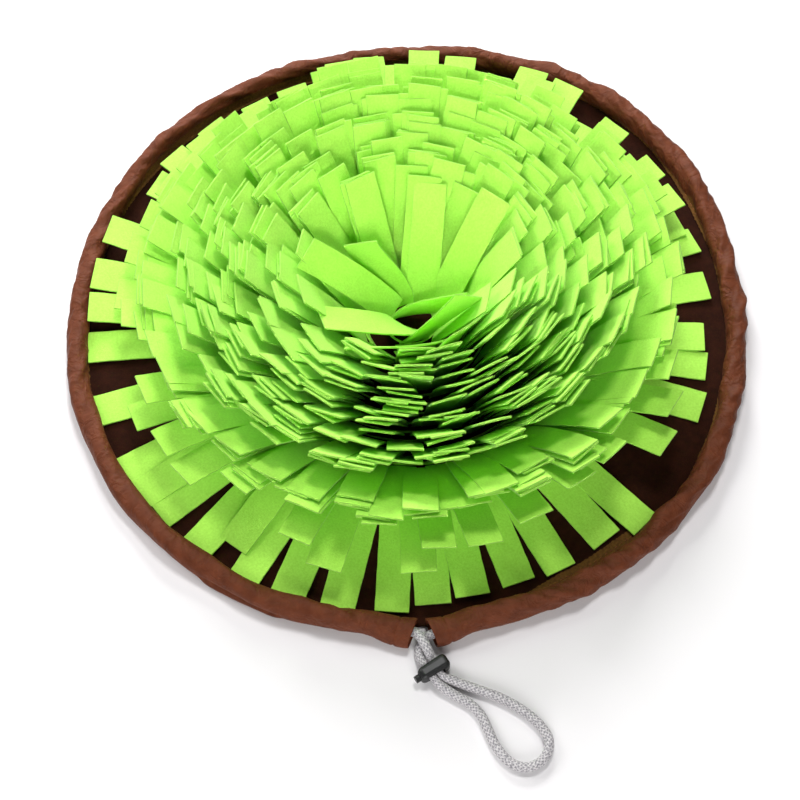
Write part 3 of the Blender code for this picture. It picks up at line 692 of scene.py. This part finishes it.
def makeBase():
    # a disc of rings, with faint puckers that fade inwards from the casing, over a flat underside;
    # a fan of triangles closes the middle of each
    count = base["stations"]
    azimuth = 2.0 * np.pi * np.arange(count)[None, :] / count
    share = np.linspace(0.0, 1.0, base["rings"])[:, None] ** 0.8
    pucker = (base["pucker"] * np.sin(61.0 * azimuth + 2.0 * np.sin(5.0 * azimuth))
              * smoothStep((share - 0.86) / 0.14))
    wave = 0.25 * mm * np.sin(9.0 * azimuth + 14.0 * share) * smoothStep((share - 0.5) / 0.3)
    place = radial(azimuth) * (baseRadius(azimuth) * share)[..., None]
    upper = rimCentre + place + upright(baseTop - 0.25 * mm + 0.5 * (pucker + wave))
    lower = rimCentre + place[::-1]
    rings = np.concatenate((upper[1:], lower[:-1]))
    points = np.vstack((rings.reshape(-1, 3), upper[0, :1], lower[-1, :1]))
    hub, foot = len(points) - 2, (len(rings) - 1) * count
    here = np.arange(count)
    after = np.roll(here, -1)
    fans = np.concatenate((np.stack((0 * here + hub, here, after), axis=-1),
                           np.stack((0 * here + hub + 1, foot + after, foot + here), axis=-1)))
    mesh = bpy.data.meshes.new("baseCloth")
    mesh.from_pydata(points.tolist(), [],
                     gridFaces(len(rings), count, roundColumns=True).tolist() + fans.tolist())
    mesh.shade_smooth()
    mesh.set_sharp_from_angle(angle=math.radians(50.0))
    mesh.materials.append(brushed)
    piece = bpy.data.objects.new("baseCloth", mesh)
    scene.collection.objects.link(piece)
    fitPiece(piece, "base_cloth", "base_cloth")


makeBase()
makeSeamAllowance()
makeStitches()
print("base cloth and seam ready")


# felt fringe

fringe = {
    "centre": np.array((1.0, -4.0, 0.0)) * mm,              # from the middle of the rim
    "thickness": 1.25 * mm, "bevel": 0.25 * mm, "width": 21.6 * mm, "heading": 5.0 * mm,
    "clearance": 0.5 * mm, "stations": 15, "solidThickness": 1.8 * mm, "gap": 0.3 * mm,
    "rings": (
        # root radius in mm, the second row's distance out in mm, strips, first azimuth, lean at the
        # root, lean at the tip, length in mm
        (29, 6.5, 10, 272, 63, 57, 84), (42, 6.5, 15, 102, 63, 56, 85),
        (55, 6.5, 20, 88, 63, 55, 86), (68, 6.5, 24, 88, 63, 55, 86),
        (81, 6.5, 29, 88, 62, 54, 87), (94, 4.5, 33, 88, 60, 52, 87),
        (103, 4.5, 36, 88, 48, 35, 86),
    ),
    "layers": ((-1.7, 1.0), (-0.25, 0.48), (1.2, 0.16)),   # lift in mm, share of strips
    # a second row's strip stands behind the first's where the sine of its azimuth is over the first
    # of these, or its scatter is over the second
    "alignedSine": 0.86, "alignedScatter": 0.35, "bandStations": 120,
    "crownRadius": 15.5, "crownLean": 64.0, "crownLength": 84.0 * mm,
    "crown": (
        # four points that steer a strip's middle line, in mm from the felt's centre; its roll at the
        # root and at the tip, in degrees
        ((-9, 6, 4), (-24, 8, 28), (-44, 10, 51), (-67, 10.5, 73), -28, -38),
        ((-7, 13.6, 3), (-8, 22, 18), (-28, 26.4, 41), (-33, 26.4, 60), 140, 86),
        ((6, 13, 5), (8.5, 26, 26), (10.5, 45, 50), (12.5, 66, 70), 0, -2),
        ((1.5, 15.5, 5), (4, 29, 25), (6, 48, 47), (8, 69, 62.5), 0, 0),
        ((17, 9, 5), (26, 17, 28), (40, 34, 55), (54, 50.5, 78), -4, 10),
        ((1, -5, 3), (-4, -20, 37), (-30, -22, 41), (-57.5, -28, 58), 14, 10),
        ((-15, -3, 8), (-4, 8, 15), (16, 2, 20), (42, -8, 44), 112, 95),
        ((0.3, -17, 8), (8, -20, 26), (24, -18, 46), (35.8, -17, 66), 130, 103),
        ((26, -14, 6), (20, -40, 40), (-8, -46, 52), (-42, -47, 52), 62, 62),
        ((-1, -21, 5), (1, -36, 28), (3, -54, 50), (4, -67.5, 71.5), 0, 0),
        ((0, -17, 5), (1, -32, 28), (3, -48, 50), (4, -62.5, 73), 0, 0),
        ((14, -10, 5), (24, -13, 26), (38, -16, 48), (48.5, -18.5, 67), 0, 0),
    ),
    "skirtRadius": 112.0, "skirtLean": 25.0, "skirtLength": 84.0, "skirtDroop": 8.0,
    "skirt": (
        # azimuth and mean lean of each strip, in degrees
        (5.5, 42.5), (13, 54), (19, 54.5), (28, 24), (36.5, 14), (44, 25), (53, 8.5), (61, 20),
        (71, 24), (80, 13), (88.5, 18), (98, 11), (107, 22), (116, 14), (125, 19), (134, 11),
        (143, 17), (152, 24), (161, 28), (168, 20), (176, 40), (177, 13.5), (184, 27), (191, 40),
        (197.5, 45), (203, 30.5), (204, 11), (213.5, 23), (221.5, 20.5), (233.5, 37.5), (235, 1),
        (247.5, 26.5), (253.5, 16), (263.5, 43), (271, 20.5), (274.5, 32.5), (283.5, 31), (295, 36.5),
        (305, 41), (310.5, 46.5), (315, 41.5), (327, 20.5), (332.5, 31), (339, 42.5), (355, 52),
    ),
    "hemRadius": 121.0, "hemLean": 6.0, "hemDroop": 4.0, "hemFoot": 3.5, "hemFlat": 10.0,
    "hem": (
        # azimuth in degrees, reach and height of the tip in mm
        (7.9, 200.1, 4), (18.4, 203.4, 4), (23.6, 199.3, 6), (26.2, 200, 25), (34.6, 201.3, 25),
        (39.8, 199, 8), (45.2, 204.1, 25), (58.5, 214.4, 22), (63.2, 206.3, 27), (65.7, 214.8, 22),
        (76.3, 203.7, 14), (79.9, 208.8, 25), (87.3, 210.9, 25), (92, 197.3, 27), (97.7, 208.6, 23),
        (103.8, 207.2, 25), (115.5, 197.1, 25), (123.5, 197.5, 25), (129.7, 191.4, 27), (134, 202, 24),
        (137.9, 199.4, 26), (143.2, 205.2, 22), (147.4, 208, 8), (162.3, 214, 18), (171.7, 213, 18),
        (178.3, 212.5, 15), (185.3, 214.3, 5), (198.2, 216.7, 5), (211.4, 215.2, 4),
        (216.5, 212.9, 5.5), (221.9, 211.2, 4), (230.7, 210.3, 4), (240.5, 210.2, 4), (248.2, 210.1, 4),
        (257.4, 208.8, 4), (266, 205.4, 4), (273.9, 199.9, 4), (280.5, 198.3, 5.5), (289.5, 196.7, 4),
        (297, 199.6, 4), (307.5, 198.2, 4), (315.1, 206.7, 5), (341.1, 198.2, 4), (350.1, 195.7, 4),
        (356.5, 193.1, 5.5),
    ),
    "steepSide": 10.0, "steepAzimuth": -48.0,
    "leanScatter": 3.2, "skewScatter": 3.5, "widthScatter": 0.9, "lengthScatter": 4.5,
    "placeScatter": 0.16, "toneScatter": 0.08,
}
feltCentre = rimCentre + fringe["centre"]


def sideLean(azimuth, rootLean):
    # extra degrees where the steep rings stand up more, and none on the rings that lie low
    side = np.maximum(0.0, np.cos(azimuth - math.radians(fringe["steepAzimuth"])))
    return fringe["steepSide"] * side ** 2 * smoothStep((rootLean - 20.0) / 40.0)


def stripPlan(ring, strip, azimuth, **shape):
    # one entry for each strip of a row: its own width, its number, and the shape that is given
    width = fringe["width"] + fringe["widthScatter"] * mm * scatter(ring, strip, 3)
    return {"azimuth": azimuth, "width": width, "lift": 0.0 * azimuth, "number": strip + 100.0 * ring,
            **shape}


def rowPlan(ring, row, count, first, rootLean, tipLean, length):
    # A row of even strips, each a little out of true. The second row's strips stand behind the
    # first's at the back, and elsewhere mostly over the gaps between them.
    strip = np.arange(count) + 50.0 * row
    span = 2.0 * np.pi / count
    sway = fringe["placeScatter"] * scatter(ring, strip, 0)
    azimuth = math.radians(first) + span * (np.arange(count) + sway)
    aligned = ((np.sin(azimuth) > fringe["alignedSine"])
               | (scatter(ring, strip, 22) > fringe["alignedScatter"]))
    azimuth = azimuth + row * span * np.where(aligned, 0.0, 0.5)
    lean = fringe["leanScatter"] * scatter(ring, strip, 1)
    steep = sideLean(azimuth, rootLean)
    return stripPlan(
        ring, strip, azimuth, rootLean=rootLean + steep + 0.3 * lean, tipLean=tipLean + steep + lean,
        length=(length + fringe["lengthScatter"] * scatter(ring, strip, 2)) * mm,
        skew=fringe["skewScatter"] * scatter(ring, strip, 4), span=np.full(count, span))


def placedPlan(ring, azimuth, lean, droop, length):
    # strips that are placed one by one, each with its own lean and an even droop
    strip = np.arange(len(azimuth))
    return stripPlan(ring, strip, np.radians(azimuth), rootLean=lean + droop, tipLean=lean - droop,
                     length=length, skew=1.5 * scatter(ring, strip, 4), span=np.full(len(strip), 0.5))


def addLayers(plan, ring):
    # on each strip lie up to two more of its row, each tight on the one before and a little askew
    strip = plan["number"]
    made = []
    for use, (lift, share) in enumerate(fringe["layers"]):
        keep = scatter(ring, strip, 25) < 2.0 * share - 1.0 + (use == 0)
        layer = dict(plan)
        layer["azimuth"] = plan["azimuth"] + 0.09 * plan["span"] * scatter(ring, strip, 30 + use)
        layer["lift"] = lift * mm + plan["lift"]
        layer["tipLean"] = plan["tipLean"] + 1.3 * scatter(ring, strip, 40 + use)
        layer["skew"] = plan["skew"] + 2.2 * scatter(ring, strip, 50 + use)
        layer["length"] = plan["length"] + 3.0 * mm * scatter(ring, strip, 60 + use)
        layer["width"] = plan["width"] + 0.5 * mm * scatter(ring, strip, 70 + use)
        layer["number"] = strip + 0.1 * use
        made.append({name: values[keep] for name, values in layer.items()})
    return {name: np.concatenate([layer[name] for layer in made]) for name in plan}


def stripShares(length):
    # stations along a strip: from inside the band to just short of the tip, and one at the tip
    start = 0.8 * fringe["heading"] / length
    even = np.linspace(0.0, 1.0, fringe["stations"] - 1)[None, :]
    share = start + (1.0 - fringe["bevel"] / length - start) * even
    return np.concatenate((share, np.ones_like(length)), axis=1)


def leaningStrips(plan, radius):
    # The middle line goes outwards by cos(lean) and up by sin(lean), while the lean runs evenly from
    # root to tip; the skew swings the strip sideways in its own plane.
    azimuth = plan["azimuth"][:, None]
    length = plan["length"][:, None]
    share = stripShares(length)
    root, tip = np.radians(plan["rootLean"])[:, None], np.radians(plan["tipLean"])[:, None]
    lean = root + (tip - root) * share
    edges = np.concatenate((0.0 * length, share), axis=1)
    midLean = root + (tip - root) * 0.5 * (edges[:, 1:] + edges[:, :-1])
    steps = np.diff(edges, axis=1) * length
    out = np.cumsum(np.cos(midLean) * steps, axis=1)
    rise = np.cumsum(np.sin(midLean) * steps, axis=1)
    foot = baseTop + fringe["gap"] + 0.5 * fringe["solidThickness"] * np.cos(root)
    outward, aside = radial(azimuth), sideways(azimuth)
    upward = np.array((0.0, 0.0, 1.0))
    along = outward * np.cos(lean)[..., None] + upward * np.sin(lean)[..., None]
    normal = upward * np.cos(lean)[..., None] - outward * np.sin(lean)[..., None]
    skew = np.radians(plan["skew"])[:, None]
    number = plan["number"][:, None]
    ripple = 0.5 * mm * np.sin(5.0 * share + 9.0 * number) * share
    lift = plan["lift"][:, None] * (1.0 + 0.5 * share) + ripple
    centre = feltCentre + outward * (radius + out)[..., None]
    centre = centre + upward * (foot + rise)[..., None] + normal * lift[..., None]
    centre = centre + aside * (np.sin(skew) * share * length)[..., None]
    across = aside * np.cos(skew)[..., None] - along * np.sin(skew)[..., None]
    room = (radius + out) * plan["span"][:, None] - fringe["clearance"]
    half = 0.5 * np.minimum(plan["width"][:, None], np.maximum(room, 6.0 * mm))
    return centre, along, across, normal, half, share * length


def bentStrips(rows):
    # The middle line is a Bezier curve through its first and last steering point; the strip's width
    # is level at roll 0, and the roll turns it about that line, evenly from root to tip.
    steer = np.array([row[:4] for row in rows], float) * mm
    roll = np.radians(np.array([row[4:] for row in rows], float))
    share = stripShares(np.full((len(rows), 1), fringe["crownLength"]))
    t = share[..., None]
    p0, p1, p2, p3 = (steer[:, k, None, :] for k in range(4))
    centre = (1 - t) ** 3 * p0 + 3 * t * (1 - t) ** 2 * p1 + 3 * t ** 2 * (1 - t) * p2 + t ** 3 * p3
    along = 3 * (1 - t) ** 2 * (p1 - p0) + 6 * t * (1 - t) * (p2 - p1) + 3 * t ** 2 * (p3 - p2)
    along = along / np.linalg.norm(along, axis=-1, keepdims=True)
    level = np.cross((0.0, 0.0, 1.0), along)
    level = level / np.linalg.norm(level, axis=-1, keepdims=True)
    face = np.cross(along, level)
    turn = (roll[:, :1] + (roll[:, 1:] - roll[:, :1]) * share)[..., None]
    across = level * np.cos(turn) + face * np.sin(turn)
    normal = face * np.cos(turn) - level * np.sin(turn)
    half = np.full(share.shape, 0.5 * fringe["width"])
    reach = share * fringe["crownLength"]
    return feltCentre + centre, along, across, normal, half, reach


def sweepStrips(frames, number):
    # Across the middle line lies an oblong section with bevelled edges, which cups and twists a
    # little; the tip is cut slightly askew and closed by a smaller section.
    centre, along, across, normal, half, reach = frames
    number = number[:, None]
    thick, bevel = fringe["thickness"], fringe["bevel"]
    share = reach / reach[:, -1:]
    twist = 0.12 * scatter(7, number, 6) * share ** 1.5
    wide = across * np.cos(twist)[..., None] + normal * np.sin(twist)[..., None]
    thin = normal * np.cos(twist)[..., None] - across * np.sin(twist)[..., None]
    isTip = (np.arange(fringe["stations"]) == fringe["stations"] - 1)[None, :]
    half = half + 0.12 * mm * np.sin(31.0 * share + 5.0 * number) - bevel * isTip
    flat = 0.5 * thick - bevel * isTip + 0.0 * half
    inner, side = half - bevel, np.maximum(flat - bevel, 0.02 * mm)
    x = np.stack((-inner, -inner / 3, inner / 3, inner, half, half,
                  inner, inner / 3, -inner / 3, -inner, -half, -half), axis=-1)
    y = np.stack((flat,) * 4 + (side, -side) + (-flat,) * 4 + (-side, side), axis=-1)
    cup = 0.04 * (scatter(8, number, 7) * share)[..., None]
    y = y + cup * (x ** 2 / half[..., None])
    slant = 0.05 * scatter(9, number, 8)[..., None] * x * smoothStep((share[..., None] - 0.85) / 0.15)
    points = (centre[:, :, None, :] + wide[:, :, None, :] * x[..., None]
              + thin[:, :, None, :] * y[..., None] + along[:, :, None, :] * slant[..., None])
    points[..., 2] = np.maximum(points[..., 2], baseTop + 0.15 * mm)
    # the cut edges and the tip get the mask for painted shade, a darker green in the felt's finish
    cutEdge = np.zeros(x.shape)
    cutEdge[..., (4, 5, 10, 11)] = 1.0
    cutEdge[:, -1, :] = 1.0
    steps = np.hypot(np.diff(x, axis=-1), np.diff(y, axis=-1))
    girth = np.concatenate((0.0 * x[..., :1], np.cumsum(steps, axis=-1)), axis=-1)
    girth = np.concatenate((girth, girth[..., -1:] + bevel), axis=-1)
    return points, cutEdge, girth


def stripFaces(count):
    # each strip's tube of quads, with five quads across its root and five across its tip
    rows = fringe["stations"]
    tube = gridFaces(rows, 12, roundColumns=True)
    cap = np.array(((0, 9, 10, 11), (0, 1, 8, 9), (1, 2, 7, 8), (2, 3, 6, 7), (3, 4, 5, 6)))
    one = np.vstack((tube, cap, cap[:, ::-1] + (rows - 1) * 12))
    return (one + np.arange(count)[:, None, None] * rows * 12).reshape(-1, 4)


def stripUv(reach, girth, number):
    # metres along and round each strip, each strip starting at its own place in the pattern
    u = (reach + 0.31 * number[:, None])[:, :, None] + 0.0 * girth
    v = girth + 0.17 * number[:, None, None]
    cells = np.stack([np.stack((a[:, :-1, :-1], a[:, 1:, :-1], a[:, 1:, 1:], a[:, :-1, 1:]), axis=-1)
                      for a in (u, v)], axis=-1).reshape(len(number), -1, 2)
    ends = [np.stack((np.repeat(u[:, row, :1], 20, axis=1), np.tile(v[:, row, :4], (1, 5))), axis=-1)
            for row in (0, -1)]
    return np.concatenate([cells] + ends, axis=1).reshape(-1, 2)


def bandAzimuths():
    # even stations round a ring's band
    return 2.0 * np.pi * np.arange(fringe["bandStations"]) / fringe["bandStations"]


def makeBand(radius, lean):
    # a ring's uncut edge: an oblong section, leaning as the strips do, carried round the ring
    azimuth, count = bandAzimuths(), fringe["bandStations"]
    lean = np.radians(lean + 0.0 * azimuth)[:, None]
    half = 0.5 * fringe["thickness"]
    along = np.array((0.0, 0.0, 1.0, 1.0))[None, :] * fringe["heading"]
    side = np.array((-half, half, half, -half))[None, :]
    out = radius + along * np.cos(lean) - side * np.sin(lean)
    foot = baseTop + fringe["gap"] + 0.5 * fringe["solidThickness"] * np.cos(lean)
    level = foot + along * np.sin(lean) + side * np.cos(lean)
    points = feltCentre + radial(azimuth)[:, None, :] * out[..., None] + upright(level)
    girth = np.cumsum((0.0, 2.0 * half, fringe["heading"], 2.0 * half, fringe["heading"]))[None, :]
    uv = gridUv(radius * np.linspace(0.0, 2.0 * np.pi, count + 1)[:, None], girth)
    return points.reshape(-1, 3), *turnFaces(gridFaces(count, 4, roundRows=True, roundColumns=True), uv)


def makeFeltRing(ring, rows, bands):
    # one ring's strips and its bands, as one piece that stands for the ring's solid
    frames = [np.concatenate(parts) for parts in zip(*(row for row, number in rows))]
    number = np.concatenate([number for row, number in rows])
    points, cutEdge, girth = sweepStrips(frames, number)
    strips = points.size // 3
    bandPoints = np.vstack([band[0] for band in bands])
    bandFaces = [band[1] + strips + at * len(bands[0][0]) for at, band in enumerate(bands)]
    plain = np.zeros(len(bandPoints))
    tone = np.repeat(fringe["toneScatter"] * scatter(ring, number, 11), cutEdge[0].size)
    piece = newPiece(f"feltRing{ring:02d}", np.vstack((points.reshape(-1, 3), bandPoints)),
                     np.vstack((stripFaces(len(number)), *bandFaces)), felt,
                     uv=np.vstack((stripUv(frames[5], girth, number), *(band[2] for band in bands))),
                     sharp=35.0, tone=np.concatenate((tone, plain)),
                     cutEdge=np.concatenate((cutEdge.ravel(), plain)))
    fitPiece(piece, "felt", f"fringe_ring_{ring:02d}")


def hemReach(azimuth, reach, height):
    # a strip that lies flat ends short of the casing: along its azimuth, the distance from the
    # felt's centre at which it meets the base cloth's edge
    shift = np.hypot(*fringe["centre"][:2])
    toward = fringe["centre"][0] * np.cos(azimuth) + fringe["centre"][1] * np.sin(azimuth)
    edge = baseRadius(azimuth) + base["inset"] - 1.1 * mm
    limit = np.sqrt(edge ** 2 - shift ** 2 + toward ** 2) - toward
    return np.where(height < fringe["hemFlat"], np.minimum(reach, limit), reach)


def makeFringe():
    # the crown round the hole, the seven rings of the bowl, then the skirt and the flat hem
    crown = fringe["crown"]
    band = makeBand(fringe["crownRadius"] * mm, fringe["crownLean"])
    makeFeltRing(1, [(bentStrips(crown), 100.0 + np.arange(len(crown)))], [band])
    for ring, (radius, apart, *shape) in enumerate(fringe["rings"], start=2):
        rows, bands = [], []
        for row in (0, 1):
            root = (radius + row * apart) * mm
            plan = addLayers(rowPlan(ring, row, *shape), ring)
            rows.append((leaningStrips(plan, root), plan["number"]))
            bands.append(makeBand(root, shape[2] + sideLean(bandAzimuths(), shape[2])))
        makeFeltRing(ring, rows, bands)
    azimuth, lean = np.array(fringe["skirt"], float).T
    root, length = fringe["skirtRadius"] * mm, np.full(len(lean), fringe["skirtLength"] * mm)
    plan = placedPlan(9, azimuth, lean, fringe["skirtDroop"], length)
    band = makeBand(root, fringe["skirtLean"])
    makeFeltRing(9, [(leaningStrips(plan, root), plan["number"])], [band])
    azimuth, reach, height = np.array(fringe["hem"], float).T
    root = fringe["hemRadius"] * mm
    out = hemReach(np.radians(azimuth), reach * mm, height) - root
    up = (height - fringe["hemFoot"]) * mm
    droop = fringe["hemDroop"] * (height > 2.0 * fringe["hemFoot"])
    plan = placedPlan(10, azimuth, np.degrees(np.arctan2(up, out)), droop, np.hypot(out, up))
    band = makeBand(root, fringe["hemLean"])
    makeFeltRing(10, [(leaningStrips(plan, root), plan["number"])], [band])


makeFringe()
print("felt ready")
# floor and light

studio = {
    "floorSize": 6.0, "floorColour": "#F5F3F4", "world": 0.1,
    "lamps": (
        # name, place, where it aims, size in metres, spread in degrees, watts
        ("low back", (-0.15, 1.25, 0.75), (0.0, 0.0, 0.0), 0.6, 180.0, 22.0),
        ("high back", (0.1, 0.5, 1.5), (0.0, 0.0, 0.0), 0.4, 180.0, 11.0),
        ("left side", (-1.0, 0.5, 0.8), (0.0, 0.0, 0.0), 0.8, 180.0, 9.0),
        ("dish fill", (-0.1, -1.2, 1.2), (0.0, 0.13, 0.06), 0.3, 17.0, 0.15),
        ("front fill", (0.1, -1.4, 0.6), (0.0, 0.0, 0.0), 1.0, 180.0, 12.5),
    ),
}


def makeStudio():
    # a white floor under round lamps, each turned so that it faces where it aims
    square = np.array(((-1, -1, 0), (1, -1, 0), (1, 1, 0), (-1, 1, 0)))
    corners = 0.5 * studio["floorSize"] * square - upright(np.array(0.2 * mm))
    made, tree, shader = newMaterial("matt white floor")
    setSockets(tree, shader, {"Base Color": studio["floorColour"], "Roughness": 0.9,
                              "Specular IOR Level": 0.1})
    floor = newPiece("floor", corners, np.array(((0, 1, 2, 3),)), made)
    world = bpy.data.worlds.new("studio")
    world.use_nodes = True
    setSockets(world.node_tree, world.node_tree.nodes["Background"],
               {"Color": "#FFFFFF", "Strength": studio["world"]})
    scene.world = world
    for name, place, target, size, spread, power in studio["lamps"]:
        data = bpy.data.lights.new(name, 'AREA')
        data.shape = 'DISK'
        data.size = size
        data.spread = math.radians(spread)
        data.energy = power
        lamp = bpy.data.objects.new(name, data)
        lamp.location = place
        aim = np.array(target) - np.array(place)
        lamp.rotation_euler = (math.atan2(math.hypot(aim[0], aim[1]), -aim[2]), 0.0,
                               math.atan2(aim[1], aim[0]) - math.pi / 2.0)
        scene.collection.objects.link(lamp)
    scene.view_settings.view_transform = 'Standard'
    scene.view_settings.look = 'None'


makeStudio()
print("studio ready")
